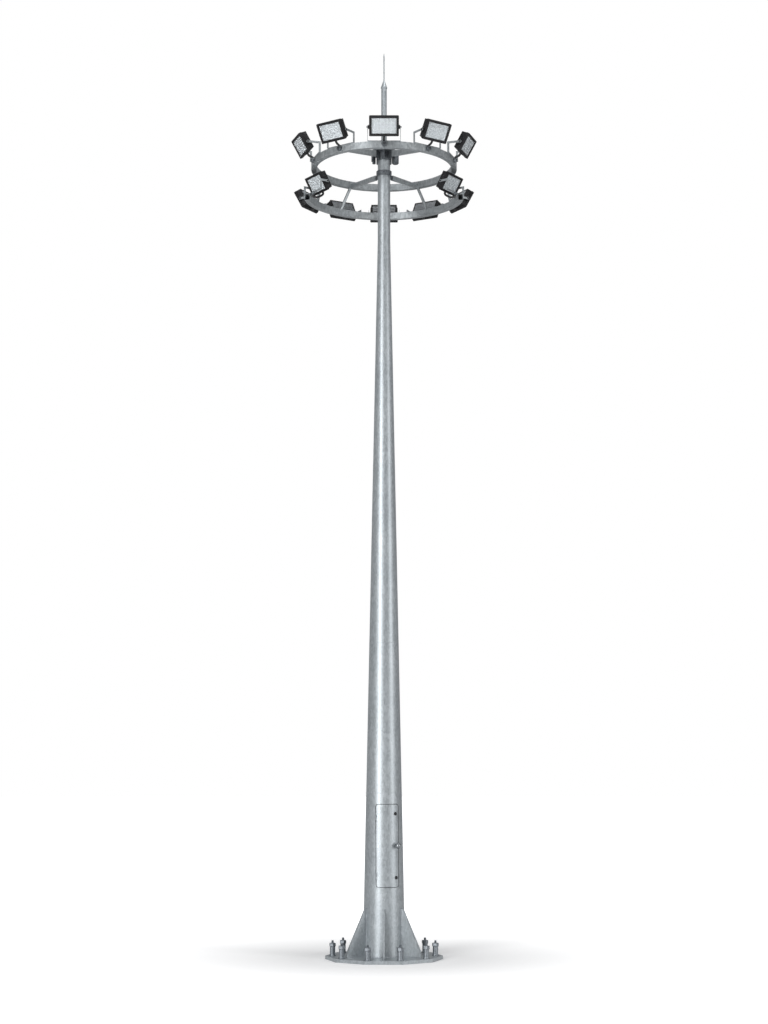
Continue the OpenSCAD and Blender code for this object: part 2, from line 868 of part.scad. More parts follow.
module upper_leads() {
    boss_y = upper_back - seat_inset - upper_boss_l / 2;
    color(BLACK)
        for (i = UPPER)
            at_place(PLACES[i])
                difference() {
                    lead([below_gland(lead_start), below_gland(lead_start + 28),
                          [boss_y, -upper_boss_drop + clamp_d / 2 + 12],
                          [boss_y, -upper_boss_drop + clamp_d / 2 - 12]]);
                    clamp_boss(clamp_d + 2 * seat, upper_boss_l, upper_back, upper_boss_drop);
                }
}

module lower_leads() {
    boss_y = lower_back - seat_inset - lower_boss_l - 8;
    bend = below_gland(lead_start + 34);
    loop_z = -end_boss_drop - end_boss_l - lead_d;
    color(BLACK) {
        for (i = OUTER)
            at_place(PLACES[i])
                difference() {
                    lead([below_gland(lead_start), below_gland(lead_start + 28),
                          [boss_y - 20, -lower_boss_drop - 22], [boss_y + 12, -lower_boss_drop - 6]]);
                    clamp_boss(lower_boss_d + 2 * seat, lower_boss_l, lower_back, lower_boss_drop);
                }
        for (i = ENDS)
            at_place(PLACES[i])
                lead([below_gland(lead_start), bend, [bend[0] - 40, loop_z], [end_back, loop_z],
                      [end_back, -end_boss_drop - end_boss_l - seat]]);
    }
}

module floodlight_housing(i) {
    color(BLACK) at_place(PLACES[i]) lamp_housing();
}

module floodlight_glass(i) {
    color(GLASS) at_place(PLACES[i]) lamp_glass();
}

// ---- What is drawn ----------------------------------------------------------------------------

base_plate();
base_gussets();
anchor_bolts();
mast_section_1();
mast_section_2();
mast_section_3();
mast_section_4();
door_frame();
door_leaf();
door_latches();
door_knob();
head_hub();
hub_boxes();
arm_collar();
front_arms();
rear_arms();
upper_ring_left();
upper_ring_right();
lower_ring();
ring_splices();
ring_hangers();
rod_tube();
rod_cone();
rod_needle();
upper_stirrups();
lower_stirrups();
upper_clamps();
lower_clamps();
upper_leads();
lower_leads();
for (i = [0 : len(LAMP_IDS) - 1]) {
    floodlight_housing(i);
    floodlight_glass(i);
}
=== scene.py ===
# %% [markdown]
# # A high mast floodlight tower, dressed for a portrait
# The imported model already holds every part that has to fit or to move: the mast, the rings, the door
# and the floodlights. This lesson puts the looks on it. Each finish is mixed from nodes, and each piece
# that the eye lingers on, such as a floodlight's shell or an anchor nut, is modelled once by hand and
# then copied to its places. Nothing that the frame brings is moved.

# %% Load the frame
import json
import math

import bmesh
import bpy
from mathutils import Matrix, Vector


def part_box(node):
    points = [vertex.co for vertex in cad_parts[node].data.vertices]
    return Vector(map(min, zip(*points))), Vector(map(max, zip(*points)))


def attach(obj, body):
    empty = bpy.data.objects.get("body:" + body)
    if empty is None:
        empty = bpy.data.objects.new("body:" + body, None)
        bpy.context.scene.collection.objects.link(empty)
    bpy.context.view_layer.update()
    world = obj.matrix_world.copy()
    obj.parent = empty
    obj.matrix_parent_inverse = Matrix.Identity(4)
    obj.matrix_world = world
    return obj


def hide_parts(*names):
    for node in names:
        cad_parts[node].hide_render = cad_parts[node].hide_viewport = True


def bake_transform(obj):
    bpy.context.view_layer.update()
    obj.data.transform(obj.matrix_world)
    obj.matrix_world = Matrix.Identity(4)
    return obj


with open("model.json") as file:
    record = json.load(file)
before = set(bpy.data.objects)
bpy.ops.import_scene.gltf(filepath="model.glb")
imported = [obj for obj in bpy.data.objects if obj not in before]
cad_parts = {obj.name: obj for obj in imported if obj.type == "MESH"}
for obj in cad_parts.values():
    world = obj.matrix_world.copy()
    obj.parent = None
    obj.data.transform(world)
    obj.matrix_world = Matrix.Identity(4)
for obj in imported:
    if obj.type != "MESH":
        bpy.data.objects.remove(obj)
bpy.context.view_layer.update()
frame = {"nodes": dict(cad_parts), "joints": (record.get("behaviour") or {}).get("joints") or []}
nodes = frame["nodes"]
joints = {joint["name"]: joint for joint in frame["joints"]}

# %% [markdown]
# ## The camera
# The tower is seen from a long way off and from just above head height, with the lens tipped up until
# both the base and the needle fit. A tipped lens makes the rings show their undersides, which is what
# tells the eye how high they hang. A long lens keeps the mast from leaning.

# %% Camera
CAMERA_DISTANCE = 35.5
CAMERA_HEIGHT = 3.545
CAMERA_TIP = 7.4

camera_data = bpy.data.cameras.new("portrait_lens")
camera_data.lens = 67.5
camera_data.sensor_width = 36
camera_data.clip_end = 500
camera = bpy.data.objects.new("portrait_camera", camera_data)
camera.location = (0, -CAMERA_DISTANCE, CAMERA_HEIGHT)
camera.rotation_euler = (math.radians(90 + CAMERA_TIP), 0, 0)
bpy.context.scene.collection.objects.link(camera)
bpy.context.scene.camera = camera

# %% [markdown]
# ## Small helpers for shaders
# A material is a tree of nodes that ends in one Principled shader. Three helpers keep the recipes
# short: one starts a material, one adds a node with its values set, and one joins two sockets. Every
# pattern reads Object coordinates. All the pieces sit at the origin unturned, so these are metres in
# the tower's own frame, and a pattern keeps its scale from the base to the needle.

# %% Shader helpers
def start_material(name, color, roughness, metallic=0.0):
    material = bpy.data.materials.new(name)
    material.use_nodes = True
    material.diffuse_color = (*color, 1)
    shader = material.node_tree.nodes["Principled BSDF"]
    shader.inputs["Base Color"].default_value = (*color, 1)
    shader.inputs["Roughness"].default_value = roughness
    shader.inputs["Metallic"].default_value = metallic
    return material, material.node_tree, shader


def add_node(tree, kind, inputs=None, **settings):
    node = tree.nodes.new(kind)
    for name, value in settings.items():
        setattr(node, name, value)
    for name, value in (inputs or {}).items():
        node.inputs[name].default_value = value
    return node


def join(tree, out_node, out_name, in_node, in_name):
    tree.links.new(out_node.outputs[out_name], in_node.inputs[in_name])


def object_pattern(tree, kind, scale, stretch=(1, 1, 1), inputs=None, **settings):
    """A texture node that reads Object coordinates, stretched along an axis where asked."""
    place = add_node(tree, "ShaderNodeTexCoord")
    mapping = add_node(tree, "ShaderNodeMapping", {"Scale": stretch})
    texture = add_node(tree, kind, {"Scale": scale, **(inputs or {})}, **settings)
    join(tree, place, "Object", mapping, "Vector")
    join(tree, mapping, "Vector", texture, "Vector")
    return texture


def ramp(tree, source, socket, stops):
    """A colour ramp over a source's output, given (place, colour) stops."""
    node = add_node(tree, "ShaderNodeValToRGB")
    elements = node.color_ramp.elements
    while len(elements) < len(stops):
        elements.new(0.5)
    for element, (place, color) in zip(elements, stops):
        element.position = place
        element.color = (*color, 1)
    join(tree, source, socket, node, "Fac")
    return node


def mix_colors(tree, first, second, share, kind="MIX"):
    """Mixes two (node, output) pairs. The share is a number or another such pair."""
    node = add_node(tree, "ShaderNodeMix", data_type="RGBA", blend_type=kind)
    tree.links.new(first[0].outputs[first[1]], node.inputs[6])
    tree.links.new(second[0].outputs[second[1]], node.inputs[7])
    if isinstance(share, (int, float)):
        node.inputs[0].default_value = share
    else:
        tree.links.new(share[0].outputs[share[1]], node.inputs[0])
    return node


def add_bump(tree, shader, source, socket, strength, distance):
    bump = add_node(tree, "ShaderNodeBump", {"Strength": strength, "Distance": distance})
    join(tree, source, socket, bump, "Height")
    join(tree, bump, "Normal", shader, "Normal")
    return bump


# %% [markdown]
# ## Hot-dip galvanised steel
# Zinc freezes on the steel in flat crystals, the spangle, a few centimetres across, each a slightly
# different grey. Over that lie soft clouds where the zinc ran thicker, and faint runs down the mast.
# A Voronoi texture gives each crystal its own random grey, one Noise texture gives the clouds, and a
# second one, stretched tall, gives the runs. Roughness follows the crystals too, so that they glint
# one by one.

# %% Galvanised steel
def galvanised(name, dark, light, roughness, metallic, crystal=28.0):
    material, tree, shader = start_material(name, light, roughness, metallic)
    crystals = object_pattern(tree, "ShaderNodeTexVoronoi", crystal, stretch=(1, 1, 0.55))
    greys = ramp(tree, crystals, "Color", [(0.15, dark), (0.85, light)])
    clouds = object_pattern(tree, "ShaderNodeTexNoise", 1.6, inputs={"Detail": 5.0})
    cloud_greys = ramp(tree, clouds, "Fac", [(0.35, (0.86, 0.87, 0.88)), (0.65, (1.0, 1.0, 1.0))])
    runs = object_pattern(tree, "ShaderNodeTexNoise", 9.0, stretch=(1, 1, 0.05), inputs={"Detail": 3.0})
    run_greys = ramp(tree, runs, "Fac", [(0.42, (0.93, 0.935, 0.94)), (0.60, (1.0, 1.0, 1.0))])
    clouded = mix_colors(tree, (greys, "Color"), (cloud_greys, "Color"), 0.75, "MULTIPLY")
    finished = mix_colors(tree, (clouded, 2), (run_greys, "Color"), 0.65, "MULTIPLY")
    tree.links.new(finished.outputs[2], shader.inputs["Base Color"])
    gloss = add_node(tree, "ShaderNodeMapRange",
                     {"To Min": roughness - 0.07, "To Max": roughness + 0.08})
    join(tree, crystals, "Color", gloss, "Value")
    join(tree, gloss, "Result", shader, "Roughness")
    grain = object_pattern(tree, "ShaderNodeTexNoise", 160.0, inputs={"Detail": 4.0})
    add_bump(tree, shader, grain, "Fac", 0.12, 0.002)
    return material


ZINC = galvanised("zinc_on_mast", (0.36, 0.39, 0.405), (0.465, 0.497, 0.517), 0.41, 0.65, 40.0)
RING_ZINC = galvanised("zinc_on_rings", (0.31, 0.333, 0.343), (0.45, 0.475, 0.487), 0.38, 0.6, 34.0)
# A far darker copy of the zinc for the hub, its boxes, the arm collar, the splices and the clamps: painted
# shade, which makes these parts read darker than the steel beside them.
SHADE_ZINC = galvanised("zinc_painted_shade", (0.09, 0.10, 0.11), (0.17, 0.185, 0.20), 0.42, 0.6, 60.0)
KNOB_STEEL = galvanised("knob_steel", (0.24, 0.26, 0.275), (0.34, 0.355, 0.37), 0.22, 0.9, 120.0)
BOLT_ZINC = galvanised("zinc_on_bolts", (0.20, 0.22, 0.24), (0.33, 0.355, 0.38), 0.38, 0.7, 90.0)

# %% [markdown]
# ## Black powder coat, rubber and weld metal
# A floodlight's shell is cast, sprayed with powder and baked, which leaves a fine even pimple that
# dulls its gloss. Rubber is darker still and has a soft sheen. A weld bead is brighter than the sheet
# beside it, because its ripples catch the light.

# %% Black finishes and weld metal
def powder_coat(name, color, roughness, pimple):
    material, tree, shader = start_material(name, color, roughness)
    pimples = object_pattern(tree, "ShaderNodeTexVoronoi", pimple, distance="EUCLIDEAN")
    add_bump(tree, shader, pimples, "Distance", 0.25, 0.0008)
    wear = object_pattern(tree, "ShaderNodeTexNoise", 14.0, inputs={"Detail": 6.0})
    lighter = tuple(channel * 1.9 for channel in color)
    tint = ramp(tree, wear, "Fac", [(0.45, color), (0.75, lighter)])
    join(tree, tint, "Color", shader, "Base Color")
    shader.inputs["Specular IOR Level"].default_value = 0.25
    return material


def rubber(name):
    material, tree, shader = start_material(name, (0.012, 0.012, 0.013), 0.62)
    dust = object_pattern(tree, "ShaderNodeTexNoise", 40.0, inputs={"Detail": 4.0})
    tint = ramp(tree, dust, "Fac", [(0.4, (0.010, 0.010, 0.011)), (0.8, (0.035, 0.035, 0.036))])
    join(tree, tint, "Color", shader, "Base Color")
    add_bump(tree, shader, dust, "Fac", 0.1, 0.001)
    return material


SHELL_BLACK = powder_coat("shell_powder_coat", (0.009, 0.009, 0.010), 0.5, 420.0)
# The ribs' black is several times lighter than the shell's: painted light, for the light that the ribs
# catch.
RIB_LIT_BLACK = powder_coat("rib_coat_painted_light", (0.055, 0.055, 0.058), 0.45, 300.0)
LOCK_BLACK = powder_coat("lock_powder_coat", (0.022, 0.022, 0.024), 0.4, 600.0)
RUBBER = rubber("lead_rubber_finish")
WELD = galvanised("weld_metal", (0.30, 0.32, 0.34), (0.50, 0.53, 0.56), 0.34, 0.6, 140.0)

# %% [markdown]
# ## Bare aluminium, lamp board, lens and glass
# The fins at the back of a floodlight are bare cast aluminium, a pale grey with a fine sandy grain.
# Behind the glass a white board carries rows of small lamps under clear domes. The glass itself only
# tints and glosses what is behind it, so it is mostly transmission with a smooth face.

# %% Pale finishes
def cast_aluminium(name):
    material, tree, shader = start_material(name, (0.56, 0.58, 0.60), 0.45, 0.35)
    sand = object_pattern(tree, "ShaderNodeTexNoise", 260.0, inputs={"Detail": 3.0})
    tint = ramp(tree, sand, "Fac", [(0.3, (0.47, 0.49, 0.51)), (0.7, (0.62, 0.64, 0.66))])
    join(tree, tint, "Color", shader, "Base Color")
    add_bump(tree, shader, sand, "Fac", 0.2, 0.0006)
    return material


def lamp_board(name):
    material, tree, shader = start_material(name, (0.62, 0.65, 0.67), 0.5)
    shade = object_pattern(tree, "ShaderNodeTexNoise", 25.0, inputs={"Detail": 2.0})
    tint = ramp(tree, shade, "Fac", [(0.3, (0.57, 0.60, 0.62)), (0.7, (0.66, 0.69, 0.71))])
    join(tree, tint, "Color", shader, "Base Color")
    return material


def lens_plastic(name):
    material, tree, shader = start_material(name, (0.44, 0.47, 0.49), 0.18)
    bubbles = object_pattern(tree, "ShaderNodeTexNoise", 90.0, inputs={"Detail": 2.0})
    tint = ramp(tree, bubbles, "Fac", [(0.3, (0.36, 0.39, 0.41)), (0.7, (0.52, 0.55, 0.57))])
    join(tree, tint, "Color", shader, "Base Color")
    shader.inputs["Coat Weight"].default_value = 0.4
    return material


def clear_glass(name):
    material, tree, shader = start_material(name, (0.95, 0.97, 0.98), 0.05)
    shader.inputs["Transmission Weight"].default_value = 0.9
    shader.inputs["IOR"].default_value = 1.12
    shader.inputs["Alpha"].default_value = 0.35
    haze = object_pattern(tree, "ShaderNodeTexNoise", 6.0, inputs={"Detail": 3.0})
    gloss = add_node(tree, "ShaderNodeMapRange", {"To Min": 0.03, "To Max": 0.14})
    join(tree, haze, "Fac", gloss, "Value")
    join(tree, gloss, "Result", shader, "Roughness")
    return material


ALUMINIUM = cast_aluminium("cast_aluminium_fins")
BOARD = lamp_board("lamp_board_white")
LENS = lens_plastic("small_lamp_lens")
GLASS = clear_glass("front_glass_clear")
print("materials:", len(bpy.data.materials))

# %% [markdown]
# ## Finishes on the frame's own parts
# A part whose shape is already right keeps it and only gets a finish. The table below goes from the
# start of a part's name to the finish it takes.

# %% Give the frame its finishes
NODE_FINISHES = {
    "base_plate": ZINC, "base_gussets": ZINC, "anchor_bolts": BOLT_ZINC, "mast_": ZINC,
    "door_frame": ZINC, "door_leaf": ZINC, "door_latches": LOCK_BLACK, "door_knob": KNOB_STEEL,
    # The hub, its boxes, the arm collar, the splices and the clamps take the darker zinc, which is painted
    # shade.
    "head_hub": SHADE_ZINC, "hub_boxes": SHADE_ZINC, "arm_collar": SHADE_ZINC,
    "front_arms": RING_ZINC, "rear_arms": RING_ZINC, "upper_ring": RING_ZINC, "lower_ring": RING_ZINC,
    "ring_splices": SHADE_ZINC, "ring_hangers": RING_ZINC, "rod_": ZINC,
    "upper_stirrups": RING_ZINC, "lower_stirrups": RING_ZINC,
    "upper_clamps": SHADE_ZINC, "lower_clamps": SHADE_ZINC,
    "upper_leads": RUBBER, "lower_leads": RUBBER, "floodlight_": SHELL_BLACK,
}


def paint(piece, *finishes):
    piece.data.materials.clear()
    for finish in finishes:
        piece.data.materials.append(finish)


for name, node in nodes.items():
    finish = next(mat for start, mat in NODE_FINISHES.items() if name.startswith(start))
    paint(node, GLASS if name.endswith("_glass") else finish)
print("painted", len(nodes), "frame parts")

# %% [markdown]
# ## Helpers for modelling
# Pieces are modelled the way a hand does it: add a primitive, go into edit mode, select faces or edges
# by where they are, and push, inset or bevel them. The helpers below wrap the parts of that which every
# piece repeats. An operator works on everything that is selected, so each step first clears the
# selection.

# %% Modelling helpers
def clear_selection():
    if bpy.context.object and bpy.context.object.mode != "OBJECT":
        bpy.ops.object.mode_set(mode="OBJECT")
    bpy.ops.object.select_all(action="DESELECT")


def name_piece(name):
    piece = bpy.context.object
    piece.name = name
    piece.data.name = name
    return piece


def block(name, size, centre):
    """A cube primitive stretched to a size, as the start of a piece."""
    clear_selection()
    bpy.ops.mesh.primitive_cube_add(size=1, location=centre)
    bpy.context.object.scale = size
    bpy.ops.object.transform_apply(location=True, rotation=False, scale=True)
    return name_piece(name)


def activate(piece):
    clear_selection()
    piece.select_set(True)
    bpy.context.view_layer.objects.active = piece


def edit_where(piece, test, mode="FACE"):
    """Goes into edit mode with only the faces or edges selected whose middle passes a test."""
    activate(piece)
    bpy.ops.object.mode_set(mode="EDIT")
    bpy.ops.mesh.select_mode(type=mode)
    bpy.ops.mesh.select_all(action="DESELECT")
    shape = bmesh.from_edit_mesh(piece.data)
    shape.normal_update()
    for part in shape.faces if mode == "FACE" else shape.edges:
        if mode == "FACE":
            chosen = test(part.calc_center_median(), part.normal)
        else:
            ends = [vertex.co for vertex in part.verts]
            chosen = test((ends[0] + ends[1]) / 2, (ends[1] - ends[0]).normalized())
        part.select_set(chosen)
    bmesh.update_edit_mesh(piece.data)


def leave_edit():
    bpy.ops.object.mode_set(mode="OBJECT")


def bevel_edges(piece, test, width, segments=3):
    edit_where(piece, test, "EDGE")
    bpy.ops.mesh.bevel(offset=width, segments=segments, affect="EDGES")
    leave_edit()


def soften(piece, width, segments=2, angle=40):
    """Breaks every sharp edge with a small Bevel modifier, and applies it."""
    activate(piece)
    modifier = piece.modifiers.new("broken_edges", "BEVEL")
    modifier.width = width
    modifier.segments = segments
    modifier.limit_method = "ANGLE"
    modifier.angle_limit = math.radians(angle)
    bpy.ops.object.modifier_apply(modifier=modifier.name)
    return piece


def smooth(piece, angle=35):
    activate(piece)
    bpy.ops.object.shade_smooth_by_angle(angle=math.radians(angle))
    return piece


def fuse(name, pieces):
    """Joins pieces into one mesh object that keeps each one's material."""
    clear_selection()
    for piece in pieces:
        piece.select_set(True)
    bpy.context.view_layer.objects.active = pieces[0]
    bpy.ops.object.join()
    return name_piece(name)


def copy_to(piece, name, placement):
    """A copy with a mesh of its own, set down by a matrix, so that its object stays at the origin."""
    twin = bpy.data.objects.new(name, piece.data.copy())
    twin.data.name = name
    twin.data.transform(placement)
    bpy.context.scene.collection.objects.link(twin)
    return twin


def discard(*pieces):
    for piece in pieces:
        bpy.data.objects.remove(piece)


def finish_piece(piece, body):
    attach(piece, body)
    return piece


# A turned part is drawn along +Z. These lay it down, to face out of a ring or into it.
FACE_OUT = Matrix.Rotation(math.radians(90), 4, "X")
FACE_IN = Matrix.Rotation(math.radians(-90), 4, "X")


def ring_place(azimuth, radius, height):
    """Turns what is drawn facing -Y at the origin to an azimuth, and moves it out and up."""
    turn = Matrix.Rotation(math.radians(azimuth), 4, "Z")
    return turn @ Matrix.Translation((0, -radius, height))


# %% [markdown]
# ## Main sizes, read from the frame
# The main sizes and places come from the frame's boxes and joints. What a box cannot tell, such as a
# sheet's thickness, how far a bolt's nut reaches or a floodlight's own measures, is a named value here
# or in its own cell, and is given to agree with the model.

# %% Sizes
plate_top_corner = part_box("base_plate")[1]
bolt_top_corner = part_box("anchor_bolts")[1]
gusset_top_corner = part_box("base_gussets")[1]
PLATE_TOP = plate_top_corner.z
BOLT_COUNT = 10
GUSSET_COUNT = 6

# Each seam is the top edge of the lower section, with the radius of the section that slips over it.
SEAMS = [(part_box(f"mast_section_{k}")[1].z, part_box(f"mast_section_{k + 1}")[1].x) for k in (1, 2, 3)]
FOOT_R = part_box("mast_section_1")[1].x

ring_low, ring_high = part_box("upper_ring_left")
UPPER_R = -ring_low.x
UPPER_Z = (ring_low.z + ring_high.z) / 2
lower_low, lower_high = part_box("lower_ring")
LOWER_Z = (lower_low.z + lower_high.z) / 2

print("plate top", round(PLATE_TOP, 3), "rings at", round(UPPER_Z, 3), round(LOWER_Z, 3))

# %% [markdown]
# ## Turned parts
# Nuts, knobs, glands and bosses are all turned: one outline spun about an axis. By hand that is a disc
# whose face is extruded up and scaled, again and again, one step for each line of the outline. A step
# with no height makes a shoulder. Six sides instead of thirty-two give a hexagon nut.

# %% Turn a part from its outline
def turned(name, outline, sides=32):
    """A closed turned part along +Z, from (radius, height) steps."""
    clear_selection()
    radius, height = outline[0]
    bpy.ops.mesh.primitive_circle_add(vertices=sides, radius=radius, fill_type="NGON",
                                      location=(0, 0, height))
    bpy.ops.object.transform_apply(location=True, rotation=False, scale=False)
    piece = name_piece(name)
    edit_where(piece, lambda centre, normal: True)
    for next_radius, next_height in outline[1:]:
        bpy.ops.mesh.extrude_region_move(
            TRANSFORM_OT_translate={"value": (0, 0, next_height - height)})
        share = next_radius / radius
        bpy.ops.transform.resize(value=(share, share, 1), center_override=(0, 0, next_height))
        radius, height = next_radius, next_height
    bpy.ops.mesh.select_all(action="SELECT")
    bpy.ops.mesh.normals_make_consistent(inside=False)
    leave_edit()
    return piece


# %% [markdown]
# ## Anchor nuts
# Each corner of the plate is held by an anchor: a flared washer, a tall sleeve, a hexagon nut that is
# wider than the sleeve, and the threaded end of the rod above it. One set is modelled and copied round
# the circle. The thread is real geometry, a zigzag outline, because a bump would not show on its edge.

# %% Model one anchor set
ANCHOR_R = 0.021
WASHER_R = 0.064
WASHER_H = 0.014
SLEEVE_R = 0.049
COLLAR_R = 0.053
NUT_R = 0.062
SLEEVE_TOP = WASHER_H + 0.150
NUT_TOP = SLEEVE_TOP + 0.062
TIP_TOP = bolt_top_corner.z - PLATE_TOP

washer = turned("anchor_washer", [(WASHER_R - 0.004, 0), (WASHER_R, 0.002), (WASHER_R, 0.011),
                                  (WASHER_R - 0.003, WASHER_H), (0.055, WASHER_H + 0.001),
                                  (SLEEVE_R, 0.030)], 40)
sleeve = turned("anchor_sleeve", [(SLEEVE_R, 0.028), (SLEEVE_R, SLEEVE_TOP - 0.008),
                                  (COLLAR_R, SLEEVE_TOP - 0.005), (COLLAR_R, SLEEVE_TOP)], 40)
nut = turned("anchor_nut", [(0.054, SLEEVE_TOP), (NUT_R, SLEEVE_TOP + 0.005),
                            (NUT_R, NUT_TOP - 0.008), (0.052, NUT_TOP)], 6)
THREAD_PITCH = 0.0045
thread_outline = [(ANCHOR_R, NUT_TOP - 0.002)]
thread_count = int((TIP_TOP - NUT_TOP - 0.004) / THREAD_PITCH)
for turn in range(thread_count):
    foot = NUT_TOP + turn * THREAD_PITCH
    thread_outline += [(ANCHOR_R, foot + 0.001), (ANCHOR_R - 0.0022, foot + THREAD_PITCH * 0.6)]
thread_outline += [(ANCHOR_R - 0.001, TIP_TOP - 0.003), (ANCHOR_R - 0.005, TIP_TOP)]
stud = turned("anchor_stud", thread_outline, 28)
for part in (washer, sleeve, stud):
    smooth(part, 30)
soften(nut, 0.0015)
anchor = fuse("anchor_set", [washer, sleeve, nut, stud])
paint(anchor, BOLT_ZINC)

# %% Set the anchors round the plate
# Each nut was tightened until it held, so no two stop at the same angle, in radians.
NUT_SPIN = 0.4

circle_r = bolt_top_corner.x - WASHER_R
anchor_sets = []
for k in range(BOLT_COUNT):
    azimuth = 180 / BOLT_COUNT + k * 360 / BOLT_COUNT
    spin = Matrix.Rotation(NUT_SPIN * k, 4, "Z")
    place = ring_place(azimuth, circle_r, PLATE_TOP) @ spin
    anchor_sets.append(copy_to(anchor, f"anchor_{k:02d}", place))
anchors = fuse("anchor_sets", anchor_sets)
finish_piece(anchors, "mast")
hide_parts("anchor_bolts")
discard(anchor)
print("anchors:", BOLT_COUNT, "sets,", len(anchors.data.polygons), "faces")

# %% [markdown]
# ## Weld beads
# The mast is welded to its plate and to the gussets, and a thin bead closes each seam of the shaft. A
# bead is a row of overlapping ripples. A torus with enough segments, pushed out and in by turns, reads as
# one. A straight bead is turned about its own line, with steps that are wider and narrower in turn.

# %% Model the beads
def ripple(piece, along, pitch, height):
    """Swells a bead's mesh in even ripples, given how far along the bead each point is."""
    for vertex in piece.data.vertices:
        place, outward = along(vertex.co)
        vertex.co += outward * height * math.cos(place / pitch * 2 * math.pi)


def ring_bead(name, radius, height, thickness, pitch):
    clear_selection()
    ripples = max(24, int(2 * math.pi * radius / pitch))
    bpy.ops.mesh.primitive_torus_add(major_radius=radius, minor_radius=thickness,
                                     major_segments=ripples * 3, minor_segments=8,
                                     location=(0, 0, height))
    bpy.ops.object.transform_apply(location=True, rotation=True, scale=True)
    bead = name_piece(name)

    def along(point):
        angle = math.atan2(point.y, point.x)
        return angle / (2 * math.pi) * ripples, Vector((math.cos(angle), math.sin(angle), 0))

    ripple(bead, along, 1.0, thickness * 0.18)
    smooth(bead, 60)
    paint(bead, WELD)
    return bead


def straight_bead(name, start, end, thickness, pitch=0.014):
    """A bead from one point to another, with ends that taper into the steel."""
    run = Vector(end) - Vector(start)
    rings = max(4, int(run.length / pitch * 2))
    outline = [(thickness * 0.3, 0.0)]
    for k in range(rings + 1):
        swell = thickness * (1.12 if k % 2 else 0.9)
        outline.append((swell, run.length * (k + 0.5) / (rings + 1.5)))
    outline.append((thickness * 0.3, run.length))
    bead = turned(name, outline, 8)
    turn = run.to_track_quat("Z", "Y").to_matrix().to_4x4()
    bead.data.transform(Matrix.Translation(start) @ turn)
    smooth(bead, 60)
    paint(bead, WELD)
    return bead


seam_beads = [ring_bead("foot_bead", FOOT_R + 0.004, PLATE_TOP + 0.003, 0.010, 0.016)]
for height, radius in SEAMS:
    seam_beads.append(ring_bead("seam_bead", radius - 0.0005, height + 0.001, 0.0035, 0.012))
mast_beads = fuse("mast_seam_beads", seam_beads)
finish_piece(mast_beads, "mast")

# %% Lay the gussets' beads
GUSSET_HALF_T = 0.0125
GUSSET_FOOT_R = 0.778
MAST_SLOPE = 0.0197

gusset_beads = []
mast_r_at_top = FOOT_R - (gusset_top_corner.z - PLATE_TOP) * MAST_SLOPE
for k in range(GUSSET_COUNT):
    turn = Matrix.Rotation(2 * math.pi * k / GUSSET_COUNT, 4, "Z")
    for side in (-1, 1):
        x = side * (GUSSET_HALF_T + 0.003)
        foot = straight_bead("gusset_foot_bead", (x, -FOOT_R + 0.002, PLATE_TOP + 0.003),
                             (x, -GUSSET_FOOT_R, PLATE_TOP + 0.003), 0.007)
        rise = straight_bead("gusset_side_bead", (x, -FOOT_R + 0.001, PLATE_TOP + 0.02),
                             (x, -mast_r_at_top + 0.001, gusset_top_corner.z - 0.004), 0.006)
        for bead in (foot, rise):
            bead.data.transform(turn)
            gusset_beads.append(bead)
gusset_welds = fuse("gusset_weld_beads", gusset_beads)
finish_piece(gusset_welds, "mast")
print("weld beads:", len(mast_beads.data.polygons) + len(gusset_welds.data.polygons), "faces")

# %% [markdown]
# ## Door seal and gap shade
# A dark rubber seal runs round the rim of the doorway and draws the thin dark line round the door. It is
# partly a real seal and partly painted shade: the line stands for the shadow in the gap round the door.
# The mast is a cone, so the line is drawn flat as a rounded rectangle first, and each point is then
# wrapped onto the mast's radius at its own height. The door's middle is found from the knob, which
# stands a known distance to the side of it.

# %% Draw the seal and its painted gap shade round the door
leaf_low, leaf_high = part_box("door_leaf")
lock_low, lock_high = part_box("door_latches")
LAST_SLIP = 0.14
last_section_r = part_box("mast_section_4")[1].x
TAPER = (FOOT_R - last_section_r) / (SEAMS[2][0] - LAST_SLIP - PLATE_TOP)


def skin_radius(height):
    return FOOT_R - TAPER * (height - PLATE_TOP)


def tube_along(name, points, thickness, closed=False, order=3):
    """A round bar along a curve, turned into a mesh."""
    clear_selection()
    curve = bpy.data.curves.new(name, "CURVE")
    curve.dimensions = "3D"
    curve.bevel_depth = thickness
    curve.bevel_resolution = 3
    curve.resolution_u = 6
    curve.use_fill_caps = True
    spline = curve.splines.new("NURBS" if order > 2 else "POLY")
    spline.points.add(len(points) - 1)
    for point, place in zip(spline.points, points):
        point.co = (*place, 1)
    spline.use_cyclic_u = closed
    if order > 2:
        spline.order_u = order
        spline.use_endpoint_u = not closed
    bar = bpy.data.objects.new(name, curve)
    bpy.context.scene.collection.objects.link(bar)
    activate(bar)
    bpy.ops.object.convert(target="MESH")
    return name_piece(name)


knob_axis = joints["knob_turn"]["axis"]
knob_z = joints["knob_turn"]["pos_m"][2]
lock_azimuth = math.degrees(math.atan2(abs(knob_axis[0]), abs(knob_axis[1])))
LOCK_CHORD = 0.150
DOOR_AZ = math.radians(lock_azimuth) - math.asin(LOCK_CHORD / skin_radius(knob_z))
SEAL_HALF = 0.2090
SEAL_LOW, SEAL_HIGH = leaf_low.z - 0.007, leaf_high.z + 0.007
SEAL_CORNER = 0.045
SEAL_R = 0.0042
SEAL_LIFT = 0.0005
CORNER_STEPS = 6


